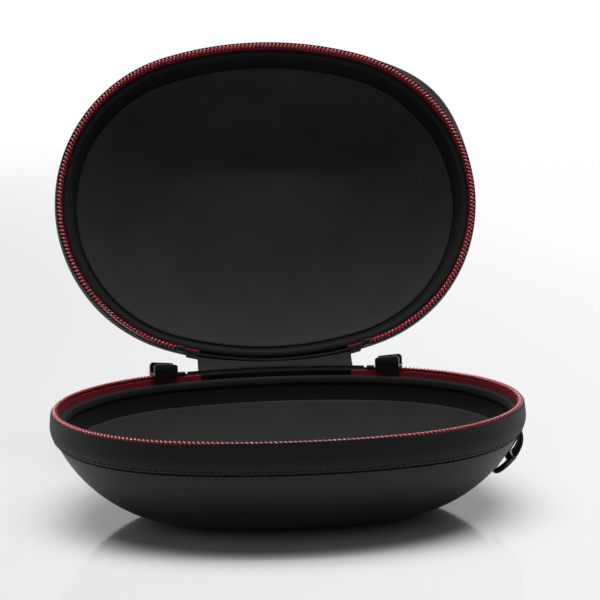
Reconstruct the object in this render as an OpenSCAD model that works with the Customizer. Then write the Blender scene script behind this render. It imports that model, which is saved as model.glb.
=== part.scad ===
// Oval zip-up carrying case: two like moulded halves that fold on a cloth hinge at the back.
// The base stands on z = 0 and the lid is drawn standing open behind it, hinge along +Y.
// A profile has x outwards from the zip line and y upwards from the zip plane.

/* [Case] */
// Width of the case, from zip line to zip line
case_w = 185; // [178:7:192]
// Radius of the zip line round each end, which also sets the depth of the case
end_r = 68; // [64.5:3.5:71.5]
// Height of each half, from the flat of its shell to the zip plane
half_h = 46; // [43:1:50]
// Angle that the lid stands open
lid_open = 108; // [95:1:120]

/* [Shell] */
// Height of the woven band, from the zip plane to the seam
band_h = 13.4; // [12.6:0.2:14.4]
// How far the band swells out between the zip line and the seam
band_swell = 1.7; // [1.2:0.1:2]
// Angle from upright at which the moulded shell leaves the seam
seam_lean = 25; // [22:1:28]
// Thickness of the outer skin
skin_t = 1; // [0.8:0.1:1.2]
// Thickness of the foam core
foam_t = 2.4; // [2:0.1:2.6]
// Thickness of the lining cloth
lining_t = 0.7; // [0.5:0.1:0.8]
// Extra thickness of the padded panel in the lining
panel_t = 1.3; // [0.8:0.1:1.6]
// Thickness of the woven band, the hinge leaves and the webbing
cloth_t = 0.9; // [0.7:0.1:1]

/* [Zip] */
// Width of a zip coil, across the rim
coil_w = 2.2; // [1.8:0.1:2.3]
// Height of a zip coil
coil_h = 1.9; // [1.7:0.1:2]
// Distance from one loop of a coil to the next
coil_pitch = 1.75; // [1.75:0.05:2.6]
// Length of a slider along the zip
slider_l = 11; // [10:0.5:13]
// Half of the height of a slider's wide end
slider_half = 4.3; // [4:0.1:4.4]
// Reach of a pull tab below the bridge that it hangs from
pull_l = 18; // [14:1:20]
// Width of a pull tab
pull_w = 7; // [6:0.5:8]

/* [Strap ring] */
// Angle of the webbing tab round the right end, from the side towards the back
tab_angle = -5; // [-12:1:12]
// Width of the webbing tab
tab_w = 10; // [8:0.5:11]
// Radius of the ring's bow, at the middle of its wire
ring_r = 9; // [8:0.25:9.5]
// Radius of the ring's wire
ring_wire_r = 1.2; // [1:0.1:1.3]

/* [Hidden] */
$fn = 96;

// Line of glue between two layers
glue = 0.1;

// The zip line is an oval of four arcs: an end arc at each side, a long arc front and back.
// They meet on lines that go 7 across for 24 along, and 25 on the slant
slant = [7, 24];
slant_l = 25;
reach = 20;
end_c = case_w / 2 - end_r;
long_c = end_c / slant[0] * slant[1];
long_r = end_r + end_c / slant[0] * slant_l;
half_d = long_r - long_c;
end_a = atan2(slant[1], slant[0]);
long_a = 90 - end_a;
end_run = 2 * end_a * end_r * PI / 180;
front_run = 2 * long_a * long_r * PI / 180;
zip_run = 2 * end_run + front_run;

// How far the parts of a layer run past each other before they are cut
lap = 2;

// The moulded shell: one arc from the seam down to the flat that it stands on
seam_in = 0.5;
seam_gap = 0.7;
shell_turn = 6;
shell_r = (half_h - band_h) / (1 - sin(seam_lean));
shell_u = -seam_in - shell_r * cos(seam_lean);
skin_top = -band_h - seam_gap / 2;
foam_r = shell_r - skin_t - glue;
lining_r = foam_r - foam_t - glue;

// The wall behind the band, where the foam and the lining thin out up to the rim binding
wall_foot = -12;
wall_lean = 1.4;
foam_top = -5.9;
lining_top = -6.2;
panel_top = -14.5;
wall_out = shell_x(foam_r, wall_foot);
foam_in = shell_x(foam_r - foam_t, wall_foot);
lining_out = shell_x(lining_r, wall_foot);
lining_in = shell_x(lining_r - lining_t, wall_foot);
binding_t = 0.6;
binding_top = -4.8;
binding_foot = -7.6;
binding_edge = 0.3;

// The woven band, a shallow arc from under the coil to the seam
band_steps = 6;
band_r = (band_h * band_h / 4 + band_swell * band_swell) / (2 * band_swell);
band_u = band_swell - band_r;
band_foot = -band_h + seam_gap / 2;

// The zip: each coil stops short of the zip plane by half of the gap that a slider's wedge needs
coil_gap = 0.6;
coil_loops = floor(zip_run / coil_pitch);
coil_core = 0.55;
coil_foot = -coil_gap - coil_h;
tape_t = 0.4;
tape_out = -0.57;
tape_foot = -11;
tape_tail = 4;
flange_out = 0.08;
stop_span = [0.3, 1.5];
stop_out = 0.2;

// The hinge: two leaves outside the bands, and a rolled fold on the hinge axis
leaf_r = band_r + glue + cloth_t;
leaf_a = long_a - 2;
leaf_top = -0.35;
leaf_foot = -12;
fold_r = 1;
fold_gap = 0.15;
fold_half = 34;
web_t = 0.8;
web_in = 0.9;
fold_stand = 0.2;
axis_y = half_d + band_swell + glue + cloth_t + fold_stand;

// A slider: an outer and an inner plate, a thin wedge between them, and a bridge for the pull
outer_plate = [2.3, 3.4];
inner_plate = [-2.65, -1.5];
slider_span = slider_l / end_r * 180 / PI;
slider_tail = 3.2;
nose_r = 1.6;
tail_r = 1.2;
corner_steps = 6;
wedge_half = 0.3;
wedge_share = 1 / 3;
bridge_u = 6;
bridge_r = 0.8;
bridge_l = 8;
post_w = 1.4;
post_root = 0.6;
eye_clear = 0.08;
eye_r = 1.9;
eye_l = 4.4;
pull_t = 1.5;
pull_neck = 4;
rib_r = 0.5;
rib_in = 1;
rib_step = 1.8;
rib_count = 4;

// The strap tab: a loop of webbing with its root in the seam and the ring's bar in its lower end.
// Points are outwards from the zip line and up from the seam, down the outer face and up the inner one
loop_spot = [-4, -11.2];
ring_clear = 0.2;
loop_in = ring_wire_r + ring_clear;
loop_out = loop_in + cloth_t;
root_in = -1.55;
root_t = 0.5;
ring_lean = 41;
tab_outer = [
  [0, 0.25], [0.55, -1.2], [0.95, -3], [1, -4.8], [0.7, -6.8], [-0.1, -8.8], [-1, -10.6], [-2.1, -12.1]
];
tab_inner = [
  [-5.7, -10.1], [-5.75, -9.5], [-3.8, -6.6], [-2, -3.6], [-0.95, -1.6], [-0.5, -0.8], [-0.45, -0.25]
];
tab_void = [
  [-0.3, -2.3], [0.05, -3.2], [0.1, -4.8], [-0.2, -6.6], [-0.95, -8.5], [-1.8, -10], [-2.75, -11],
  [-4.9, -10.1], [-3.05, -7.1], [-1.25, -4.1]
];

ink = [0.06, 0.06, 0.065];
charcoal = [0.13, 0.13, 0.135];
foam_grey = [0.25, 0.25, 0.26];
zip_red = [0.55, 0.03, 0.06];
gunmetal = [0.2, 0.2, 0.22];

// Distance outwards of a shell arc of radius r at a height
function shell_x(r, height) = shell_u + sqrt(r * r - pow(shell_r - half_h - height, 2));

// Point of a shell arc of radius r, at an angle down from level
function shell_point(r, turn) = [shell_u + r * cos(turn), shell_r - half_h - r * sin(turn)];

// Points down a shell arc of radius r, from a height to a little past the flat
function shell_side(r, top) =
  let (
    first = asin((shell_r - half_h - top) / r),
    last = 90 - shell_turn,
    even = [for (turn = [0:shell_turn:last]) if (turn > first + 1) turn]
  )
  concat(
    [for (turn = concat([first], even)) shell_point(r, turn)],
    [2 * shell_point(r, 90) - shell_point(r, last)]
  );

// Height of the flat of a shell arc of radius r
function shell_floor(r) = shell_r - half_h - r;

// Distance outwards of a face of the wall at a height, from where it stands at the wall's foot
function wall_x(foot_x, height) = foot_x + wall_lean * (height - wall_foot) / (foam_top - wall_foot);

// Points down a band arc of radius r, between two heights
function band_arc(r, top, foot) =
  let (first = asin((top + band_h / 2) / r), last = asin((foot + band_h / 2) / r))
  [for (i = [0:band_steps])
    let (turn = first + (last - first) * i / band_steps)
    [band_u + r * cos(turn), -band_h / 2 + r * sin(turn)]];

// Points round a corner, between two angles
function corner(centre, r, from, to) =
  [for (i = [0:corner_steps])
    let (turn = from + (to - from) * i / corner_steps)
    centre + r * [cos(turn), sin(turn)]];

function reversed(list) = [for (i = [len(list) - 1:-1:0]) list[i]];

// Point of the plan a distance along the zip, from the right end of the hinge, and out from it
function zip_spot(run, out) =
  run < end_run
    ? let (turn = end_a - run / end_r * 180 / PI)
      [end_c + (end_r + out) * cos(turn), (end_r + out) * sin(turn)]
    : run < end_run + front_run
      ? let (turn = -end_a - (run - end_run) / long_r * 180 / PI)
        [(long_r + out) * cos(turn), long_c + (long_r + out) * sin(turn)]
      : let (turn = 180 + end_a - (run - end_run - front_run) / end_r * 180 / PI)
        [-end_c + (end_r + out) * cos(turn), (end_r + out) * sin(turn)];

// Sweeps a profile along the right end arc, between two angles from the side
module on_end(from, to) {
  translate([end_c, 0, 0])
    rotate([0, 0, from])
      rotate_extrude(angle = to - from)
        translate([end_r, 0])
          children();
}

// Sweeps a profile along the back arc, between two angles from the middle of the back
module on_back(from, to) {
  translate([0, -long_c, 0])
    rotate([0, 0, 90 - to])
      rotate_extrude(angle = to - from)
        translate([long_r, 0])
          children();
}

module both_sides() {
  children();
  mirror([1, 0, 0]) children();
}

// Sweeps a profile along the whole right end arc
module end_arc() {
  intersection() {
    translate([end_c, 0, 0])
      rotate([0, 0, 180])
        rotate_extrude()
          translate([end_r, 0])
            children();
    linear_extrude(case_w, center = true)
      polygon([
        [end_c, 0], [end_c, 0] + reach * [slant[0], -slant[1]], [reach * slant_l, -reach * slant[1]],
        [reach * slant_l, reach * slant[1]], [end_c, 0] + reach * slant
      ]);
  }
}

// Sweeps a profile along the whole back arc
module back_arc() {
  intersection() {
    translate([0, -long_c, 0])
      rotate_extrude()
        translate([long_r, 0])
          children();
    linear_extrude(case_w, center = true)
      translate([0, -long_c])
        polygon([[0, 0], reach * slant, reach * [-slant[0], slant[1]]]);
  }
}

// Sweeps a profile along the whole zip line
module all_round() {
  both_sides() end_arc() children();
  for (turn = [0, 180]) rotate([0, 0, turn]) back_arc() children();
}

// The base hangs below the zip plane, and the lid is its mirror image, turned open on the hinge
module as_base() {
  translate([0, 0, half_h]) children();
}

module as_lid() {
  translate([0, axis_y, half_h])
    rotate([-lid_open, 0, 0])
      translate([0, -axis_y, 0])
        mirror([0, 0, 1])
          children();
}

// One part of the room inside a profile, from a reach inwards of the zip line
module sector(side, reach, over, foot) {
  last = side[len(side) - 1];
  head = side[0][1] + over;
  polygon(concat(
    [[-reach, head], [side[0][0], head]], side, [[last[0], foot - over], [-reach, foot - over]]
  ));
}

// The room inside a profile: sectors that overlap in the middle, cut level at the foot and the top
module filled(side, foot, top) {
  intersection() {
    union() {
      both_sides() end_arc() sector(side, end_r, lap / 2, foot);
      for (turn = [0, 180])
        rotate([0, 0, turn]) back_arc() sector(side, half_d + lap, lap, foot);
    }
    translate([-case_w, -case_w, foot]) cube([2 * case_w, 2 * case_w, top - foot]);
  }
}

// A moulded layer between two profiles, its outer flat on a shell arc of radius r
module layer(outside, inside, r, t, top) {
  difference() {
    filled(outside, shell_floor(r), top);
    filled(inside, shell_floor(r - t), top + lap / 2);
  }
}

module half_skin() {
  head = skin_top + lap;
  layer(shell_side(shell_r, head), shell_side(shell_r - skin_t, head), shell_r, skin_t, skin_top);
}

module half_foam() {
  head = foam_top + lap;
  outside = concat([[wall_out, head]], shell_side(foam_r, wall_foot));
  inside = concat([[wall_x(foam_in, head), head]], shell_side(foam_r - foam_t, wall_foot));
  layer(outside, inside, foam_r, foam_t, foam_top);
}

// The lining is thin behind the rim and padded over the shell, with a step between the two
module half_lining() {
  head = lining_top + lap;
  thin_r = lining_r - lining_t;
  outside = concat([[wall_x(lining_out, head), head]], shell_side(lining_r, wall_foot));
  inside = concat(
    [[wall_x(lining_in, head), head], [lining_in, wall_foot], [shell_x(thin_r, panel_top), panel_top]],
    shell_side(thin_r - panel_t, panel_top)
  );
  layer(outside, inside, lining_r, lining_t + panel_t, lining_top);
}

module half_band() {
  outside = band_arc(band_r, coil_foot, band_foot);
  inside = reversed(band_arc(band_r - cloth_t, coil_foot, band_foot));
  all_round() polygon(concat(outside, inside));
}

// The tape comes up inside the rim to a flange under the coil, and ends a little way along the back
module half_zip_tape() {
  tail_x = long_r * sin(long_a - tape_tail);
  tape_in = tape_out - tape_t;
  flange_top = coil_foot - glue / 2;
  difference() {
    all_round()
      polygon([
        [tape_in, tape_foot], [tape_in, flange_top], [flange_out, flange_top],
        [flange_out, flange_top - tape_t], [tape_out, flange_top - tape_t], [tape_out, tape_foot]
      ]);
    translate([-tail_x, 0, -half_h]) cube([2 * tail_x, case_w, half_h]);
  }
}

// The coil's loops stand across the rim on a narrow core
module half_zip_coil() {
  step = zip_run / coil_loops;
  loop_form = [[0.1, coil_core], [0.5, coil_w / 2]];
  outside = [for (i = [0:coil_loops - 1], p = loop_form) zip_spot((i + p[0]) * step, p[1])];
  inside = [for (i = [0:coil_loops - 1], p = loop_form) zip_spot((i + p[0]) * step, -p[1])];
  translate([0, 0, coil_foot])
    linear_extrude(coil_h)
      polygon(concat(outside, reversed(inside)));
}

// Crimped stops, one where each end of the zip meets the hinge
module half_zip_stops() {
  both_sides()
    on_back(long_a - stop_span[1], long_a - stop_span[0])
      translate([-coil_w / 2, coil_foot + glue / 2])
        square([coil_w + stop_out, coil_h - glue / 2]);
}

// Binding tape over the top edges of the foam and the lining, with a leg down the inside
module half_rim_binding() {
  leg_out = lining_in - glue;
  leg_in = leg_out - binding_t;
  cap_out = tape_out - tape_t - glue;
  cap_foot = foam_top + glue;
  turn = binding_top - binding_t;
  all_round()
    polygon([
      [cap_out, cap_foot], [cap_out, binding_top - binding_edge], [cap_out - binding_edge, binding_top],
      [wall_x(leg_out, binding_top), binding_top], [wall_x(leg_in, turn), turn],
      [wall_x(leg_in, binding_foot), binding_foot], [wall_x(leg_out, binding_foot), binding_foot],
      [wall_x(leg_out, cap_foot), cap_foot]
    ]);
}

// A hinge leaf on the outside of the band, and the web of cloth that runs to the fold
module half_hinge_leaf() {
  outside = band_arc(leaf_r, leaf_top, leaf_foot);
  inside = reversed(band_arc(leaf_r - cloth_t, leaf_top, leaf_foot));
  on_back(-leaf_a, leaf_a) polygon(concat(outside, inside));
  translate([0, 0, leaf_top - web_t])
    linear_extrude(web_t)
      difference() {
        translate([-fold_half, 0]) square([2 * fold_half, axis_y]);
        translate([0, -long_c]) circle(long_r + web_in, $fn = 360);
      }
}

module fold_roll(r, half) {
  translate([0, axis_y, 0])
    rotate([0, 90, 0])
      cylinder(h = 2 * half, r = r, center = true);
}

// Outline of a slider's plates, along the zip and up: a wide round nose and a narrower tail
module slider_form() {
  nose = [nose_r - slider_l / 2, slider_half - nose_r];
  tail = [slider_l / 2 - tail_r, slider_tail - tail_r];
  edge = atan2(tail[1] - nose[1], tail[0] - nose[0]) + acos((nose_r - tail_r) / norm(tail - nose));
  top = concat(corner(nose, nose_r, 180, edge), corner(tail, tail_r, edge, 0));
  polygon(concat(top, reversed([for (p = top) [p[0], -p[1]]])));
}

// A slider at the right end of the zip, its wide nose towards the front
module slider() {
  nose = end_a - slider_span;
  for (plate = [outer_plate, inner_plate])
    intersection() {
      on_end(nose, end_a)
        translate([plate[0], -slider_half])
          square([plate[1] - plate[0], 2 * slider_half]);
      at_bridge()
        rotate([90, 0, 90])
          linear_extrude(4 * bridge_u, center = true)
            slider_form();
    }
  on_end(nose, nose + slider_span * wedge_share)
    translate([inner_plate[0], -wedge_half])
      square([outer_plate[1] - inner_plate[0], 2 * wedge_half]);
  at_bridge() {
    rotate([90, 0, 0]) cylinder(h = bridge_l, r = bridge_r, center = true);
    for (end = [-1, 1])
      translate([
        outer_plate[1] - post_root - bridge_u, end * (bridge_l - post_w) / 2 - post_w / 2, -bridge_r
      ])
        cube([bridge_u - outer_plate[1] + post_root, post_w, 2 * bridge_r]);
  }
}

// Local frame on the bridge: x outwards, y along the zip
module at_bridge() {
  translate([end_c, 0, 0])
    rotate([0, 0, end_a - slider_span / 2])
      translate([end_r + bridge_u, 0, 0])
        children();
}

// A pull tab that hangs from the bridge by its eye
module pull() {
  at_bridge()
    difference() {
      union() {
        rotate([90, 0, 0]) cylinder(h = eye_l, r = eye_r, center = true);
        translate([pull_t / 2, 0, 0])
          rotate([0, -90, 0])
            linear_extrude(pull_t) {
              translate([-pull_l / 2, -pull_neck / 2]) square([pull_l / 2, pull_neck]);
              translate([-pull_l + pull_w / 2, -pull_w / 2]) square([pull_l / 2, pull_w]);
              translate([-pull_l + pull_w / 2, 0]) circle(d = pull_w);
            }
        for (i = [0:rib_count - 1])
          translate([pull_t / 2, 0, -pull_l + pull_w / 2 + i * rib_step])
            rotate([90, 0, 0])
              cylinder(h = pull_w - 2 * rib_in, r = rib_r, center = true);
      }
      rotate([90, 0, 0]) cylinder(h = bridge_l, r = bridge_r + eye_clear, center = true);
    }
}

// Local frame of the strap tab at the seam: x outwards from the zip line, y along it
module at_tab() {
  translate([end_c, 0, -band_h])
    rotate([0, 0, tab_angle])
      translate([end_r, 0, 0])
        children();
}

module tab_webbing() {
  root = [[root_in, -root_t / 2], [root_in, root_t / 2]];
  at_tab()
    rotate([90, 0, 0])
      difference() {
        union() {
          linear_extrude(tab_w, center = true) polygon(concat(root, tab_outer, [loop_spot], tab_inner));
          translate(loop_spot) cylinder(h = tab_w, r = loop_out, center = true);
        }
        translate(loop_spot) cylinder(h = tab_w + lap, r = loop_in, center = true);
        linear_extrude(tab_w + lap, center = true) polygon(tab_void);
      }
}

// A ring with a straight bar in the webbing and a round bow below it, leaning in along the shell
module ring_wire() {
  at_tab()
    translate([loop_spot[0], 0, loop_spot[1]]) rotate([0, ring_lean, 0]) {
      rotate([90, 0, 0]) cylinder(h = 2 * ring_r, r = ring_wire_r, center = true);
      for (end = [-1, 1]) translate([0, end * ring_r, 0]) sphere(ring_wire_r);
      rotate([0, 90, 0])
        rotate([0, 0, -90])
          rotate_extrude(angle = 180)
            translate([ring_r, 0])
              circle(ring_wire_r);
    }
}

module base_skin() { color(ink) as_base() half_skin(); }
module base_foam() { color(foam_grey) as_base() half_foam(); }
module base_lining() { color(charcoal) as_base() half_lining(); }
module base_band() { color(charcoal) as_base() half_band(); }
module base_zip_tape() { color(zip_red) as_base() half_zip_tape(); }
module base_zip_coil() { color(zip_red) as_base() half_zip_coil(); }
module base_zip_stops() { color(gunmetal) as_base() half_zip_stops(); }
module base_rim_binding() { color(charcoal) as_base() half_rim_binding(); }
module base_hinge_leaf() {
  color(charcoal) as_base() {
    half_hinge_leaf();
    fold_roll(fold_r, fold_half);
  }
}
module strap_tab() { color(ink) as_base() tab_webbing(); }
module strap_ring() { color(gunmetal) as_base() ring_wire(); }

module lid_skin() { color(ink) as_lid() half_skin(); }
module lid_foam() { color(foam_grey) as_lid() half_foam(); }
module lid_lining() { color(charcoal) as_lid() half_lining(); }
module lid_band() { color(charcoal) as_lid() half_band(); }
module lid_zip_tape() { color(zip_red) as_lid() half_zip_tape(); }
module lid_zip_coil() { color(zip_red) as_lid() half_zip_coil(); }
module lid_zip_stops() { color(gunmetal) as_lid() half_zip_stops(); }
module lid_rim_binding() { color(charcoal) as_lid() half_rim_binding(); }
module lid_hinge_leaf() {
  color(charcoal) as_lid() difference() {
    half_hinge_leaf();
    fold_roll(fold_r + fold_gap, fold_half + 1);
  }
}

module right_slider() { color(gunmetal) as_base() slider(); }
module right_pull() { color(ink) as_base() pull(); }
module left_slider() { color(gunmetal) as_base() mirror([1, 0, 0]) slider(); }
module left_pull() { color(ink) as_base() mirror([1, 0, 0]) pull(); }

base_skin();
base_foam();
base_lining();
base_band();
base_zip_tape();
base_zip_coil();
base_zip_stops();
base_rim_binding();
base_hinge_leaf();
strap_tab();
strap_ring();
lid_skin();
lid_foam();
lid_lining();
lid_band();
lid_zip_tape();
lid_zip_coil();
lid_zip_stops();
lid_rim_binding();
lid_hinge_leaf();
right_slider();
right_pull();
left_slider();
left_pull();
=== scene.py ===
"""Looks of an oval zip-up carrying case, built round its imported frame.

Each half is a moulded skin, a woven band, a padded lining, a rim binding and one side of the zip. Profiles have u
outwards from the zip line and z up from the zip plane, in millimetres. The lid is made as the base is, mirrored in
the zip plane and turned open on the hinge.
"""

import logging
import math
from collections.abc import Iterable, Sequence
from dataclasses import dataclass
from enum import Enum

import bpy
import numpy as np
from mathutils import Matrix, Vector


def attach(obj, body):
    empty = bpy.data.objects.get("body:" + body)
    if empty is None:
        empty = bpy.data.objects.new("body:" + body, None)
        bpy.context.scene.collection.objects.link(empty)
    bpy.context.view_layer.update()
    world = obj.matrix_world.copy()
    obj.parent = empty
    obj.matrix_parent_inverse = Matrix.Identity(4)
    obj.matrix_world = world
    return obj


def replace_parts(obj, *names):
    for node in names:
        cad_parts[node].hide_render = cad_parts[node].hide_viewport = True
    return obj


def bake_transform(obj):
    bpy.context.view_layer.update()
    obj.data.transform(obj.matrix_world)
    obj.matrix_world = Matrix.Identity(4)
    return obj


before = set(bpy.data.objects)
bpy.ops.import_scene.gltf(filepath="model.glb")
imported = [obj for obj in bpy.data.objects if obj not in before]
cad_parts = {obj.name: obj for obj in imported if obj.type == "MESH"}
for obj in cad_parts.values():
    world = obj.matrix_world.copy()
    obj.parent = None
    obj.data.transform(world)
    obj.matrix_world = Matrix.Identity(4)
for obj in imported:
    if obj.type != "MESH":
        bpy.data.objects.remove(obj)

LOG = logging.getLogger("case")
MM = 0.001
Pair = tuple[float, float]
Colour = tuple[float, float, float, float]
Spot = tuple[float, float, float]
Piece = bpy.types.Object
Material = bpy.types.Material


def grey(value: float) -> Colour:
    """A neutral colour of that value."""
    return (value, value, value, 1.0)


class Half(Enum):
    """The two halves of the case, named as their bodies are."""

    BASE = "base"
    LID = "lid"


@dataclass(frozen=True)
class Arc:
    """A stretch of the zip line, anticlockwise from above, in millimetres and radians."""

    centre: Pair
    radius: float
    start: float
    turn: float
    steps: int

    def spot(self, along: float, out: float = 0.0) -> Pair:
        """A point of the plan.

        Args:
            along: Share of the arc, from 0 to 1.
            out: Distance outwards of the arc.

        Returns:
            The point's x and y.
        """
        angle = self.start + self.turn * along
        reach = self.radius + out
        return (self.centre[0] + reach * math.cos(angle), self.centre[1] + reach * math.sin(angle))


@dataclass(frozen=True)
class ZipLine:
    """The oval of four arcs that the zip follows. The arcs meet on lines that go 7 sideways for 24 back."""

    end_c: float = 24.5
    end_r: float = 68.0
    half_h: float = 46.0
    axis_y: float = 74.4
    lid_open: float = 108.0
    slant: tuple[int, int, int] = (7, 24, 25)
    end_steps: int = 52
    long_steps: int = 26
    tail_steps: int = 4

    @property
    def slope(self) -> float:
        """How far sideways the lines where arcs meet go for each step back."""
        return self.slant[0] / self.slant[1]

    @property
    def long_c(self) -> float:
        """Distance of a long arc's centre from the middle."""
        return self.end_c / self.slant[0] * self.slant[1]

    @property
    def long_r(self) -> float:
        """Radius of the long arcs."""
        return self.end_r + self.end_c / self.slant[0] * self.slant[2]

    @property
    def end_a(self) -> float:
        """Half of the angle of an end arc."""
        return math.atan2(self.slant[1], self.slant[0])

    @property
    def long_a(self) -> float:
        """Half of the angle of a long arc."""
        return math.pi / 2 - self.end_a

    def back(self, first: float, last: float, steps: int) -> Arc:
        """A part of the back arc, between two angles to the left of its middle."""
        start = math.pi / 2 + first
        return Arc((0.0, -self.long_c), self.long_r, start, last - first, steps)

    def ring(self) -> list[Arc]:
        """Lists the arcs of the whole oval, from the right end's front.

        Returns:
            The right end, the back, the left end and the front.
        """
        end, long = 2 * self.end_a, 2 * self.long_a
        return [
            Arc((self.end_c, 0.0), self.end_r, -self.end_a, end, self.end_steps),
            self.back(-self.long_a, self.long_a, self.long_steps),
            Arc((-self.end_c, 0.0), self.end_r, math.pi - self.end_a, end, self.end_steps),
            Arc((0.0, self.long_c), self.long_r, math.pi + self.end_a, long, self.long_steps),
        ]

    def opening(self, tail: float) -> list[Arc]:
        """The part of the oval that the zip takes up.

        Args:
            tail: Angle that the zip runs on along the back at each end.

        Returns:
            The arcs, from the left end of the hinge round the front.
        """
        first = self.back(self.long_a - tail, self.long_a, self.tail_steps)
        last = self.back(-self.long_a, -self.long_a + tail, self.tail_steps)
        right, _, left, front = self.ring()
        return [first, left, front, right, last]

    def place(self, half: Half) -> Matrix:
        """The move from zip-plane millimetres to the frame.

        Args:
            half: The half that a piece belongs to.

        Returns:
            A matrix that also mirrors a piece of the lid.
        """
        scale = Matrix.Scale(MM, 4)
        if half is Half.BASE:
            return scale @ Matrix.Translation((0, 0, self.half_h))
        hinge = Matrix.Translation((0, self.axis_y, self.half_h))
        turn = Matrix.Rotation(-math.radians(self.lid_open), 4, "X")
        back = Matrix.Translation((0, -self.axis_y, 0))
        return scale @ hinge @ turn @ back @ Matrix.Scale(-1, 4, (0, 0, 1))


LINE = ZipLine()


def run_of(arcs: Iterable[Arc], out: float = 0.0) -> float:
    """The length of a run of arcs at a distance outwards."""
    return sum(arc.turn * (arc.radius + out) for arc in arcs)


def tidy() -> None:
    """Leaves edit mode and deselects everything."""
    if bpy.context.mode != "OBJECT":
        bpy.ops.object.mode_set(mode="OBJECT")
    bpy.ops.object.select_all(action="DESELECT")


def add_object(name: str, data: bpy.types.ID) -> Piece:
    """Puts a new object in the scene.

    Args:
        name: Its name.
        data: Its mesh, curve, light or camera.

    Returns:
        The object.
    """
    made = bpy.data.objects.new(name, data)
    bpy.context.scene.collection.objects.link(made)
    return made


def pick(piece: Piece) -> None:
    """Makes one piece active and deselects the others.

    Args:
        piece: The piece.
    """
    tidy()
    piece.select_set(True)
    bpy.context.view_layer.objects.active = piece


def modify(piece: Piece, kind: str, **settings: object) -> None:
    """Adds a modifier and applies it.

    Args:
        piece: The piece that it changes.
        kind: The modifier's type.
        settings: Values of the modifier's fields.
    """
    pick(piece)
    modifier = piece.modifiers.new(kind.lower(), kind)
    for name, value in settings.items():
        setattr(modifier, name, value)
    bpy.ops.object.modifier_apply(modifier=modifier.name)


def bevel(piece: Piece, width: float, segments: int, degrees: float) -> None:
    """Rounds the edges of a piece that are sharper than an angle."""
    limit = {"limit_method": "ANGLE", "angle_limit": math.radians(degrees)}
    modify(piece, "BEVEL", width=width, segments=segments, **limit)


def smooth(piece: Piece, degrees: float = 35.0) -> None:
    """Shades a piece smooth, apart from edges sharper than an angle."""
    pick(piece)
    bpy.ops.object.shade_smooth_by_angle(angle=math.radians(degrees))


def close_mesh() -> None:
    """Fills the holes of the mesh in edit mode, and points its faces outwards."""
    bpy.ops.mesh.select_all(action="SELECT")
    bpy.ops.mesh.fill_holes(sides=0)
    bpy.ops.mesh.select_all(action="SELECT")
    bpy.ops.mesh.normals_make_consistent(inside=False)


def chain(name: str, points: Sequence[Spot], closed: bool) -> Piece:
    """Draws a line of edges, and stays in edit mode with all of it selected.

    Args:
        name: The new piece's name.
        points: The corners of the line.
        closed: Whether the last corner is joined to the first.

    Returns:
        The new piece.
    """
    tidy()
    bpy.ops.mesh.primitive_plane_add(size=1)
    piece = bpy.context.object
    piece.name = name
    bpy.ops.object.mode_set(mode="EDIT")
    bpy.ops.mesh.merge(type="CENTER")
    bpy.ops.transform.translate(value=points[0])
    for here, there in zip(points, points[1:]):
        step = Vector(there) - Vector(here)
        bpy.ops.mesh.extrude_vertices_move(TRANSFORM_OT_translate={"value": step})
    if closed:
        bpy.ops.object.mode_set(mode="OBJECT")
        corners = piece.data.vertices
        ends = [np.argmin([(v.co - Vector(p)).length for v in corners]) for p in (points[0], points[-1])]
        for vertex in corners:
            vertex.select = vertex.index in ends
        bpy.ops.object.mode_set(mode="EDIT")
        bpy.ops.mesh.edge_face_add()
    bpy.ops.mesh.select_all(action="SELECT")
    return piece


def sweep(name: str, profile: Sequence[Pair], arcs: Sequence[Arc], closed: bool) -> Piece:
    """Spins a profile along arcs, one centre after another, and closes what is left open.

    Args:
        name: The new piece's name.
        profile: Points of the profile, u and z.
        arcs: The arcs, end to end.
        closed: Whether the profile is a closed loop.

    Returns:
        The new piece, in zip-plane millimetres, with a cloth map along and across the sweep.
    """
    points = [(*arcs[0].spot(0.0, u), z) for u, z in profile]
    piece = chain(name, points, closed)
    for arc in arcs:
        bpy.ops.mesh.spin(steps=arc.steps, angle=-arc.turn, center=(*arc.centre, 0.0), axis=(0, 0, 1))
    bpy.ops.mesh.select_all(action="SELECT")
    bpy.ops.mesh.remove_doubles(threshold=1e-3)
    close_mesh()
    tidy()
    map_cloth(piece, profile)
    return piece


def plan(spots: np.ndarray) -> tuple[np.ndarray, np.ndarray, np.ndarray]:
    """Finds where points lie on the oval.

    Args:
        spots: Rows of x, y and z.

    Returns:
        For each point, how far it lies along the zip line from the right end's front, how far out of the line, and
        a unit row of x and y that points outwards.
    """
    x, y = spots[:, 0], spots[:, 1]
    at_end = np.abs(x) - LINE.end_c > LINE.slope * np.abs(y)
    on_arcs = (at_end & (x > 0), ~at_end & (y > 0), at_end & (x < 0), ~at_end & (y <= 0))
    run, out, away = np.zeros(len(x)), np.zeros(len(x)), np.zeros((len(x), 2))
    start = 0.0
    for arc, here in zip(LINE.ring(), on_arcs):
        rows = spots[here, :2] - arc.centre
        reach = np.hypot(*rows.T)
        turn = np.arctan2(rows[:, 1], rows[:, 0]) - arc.start - arc.turn / 2
        run[here] = start + ((turn + math.pi) % math.tau - math.pi + arc.turn / 2) * arc.radius
        out[here] = reach - arc.radius
        away[here] = rows / reach[:, None]
        start += run_of([arc])
    return run, out, away


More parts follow.
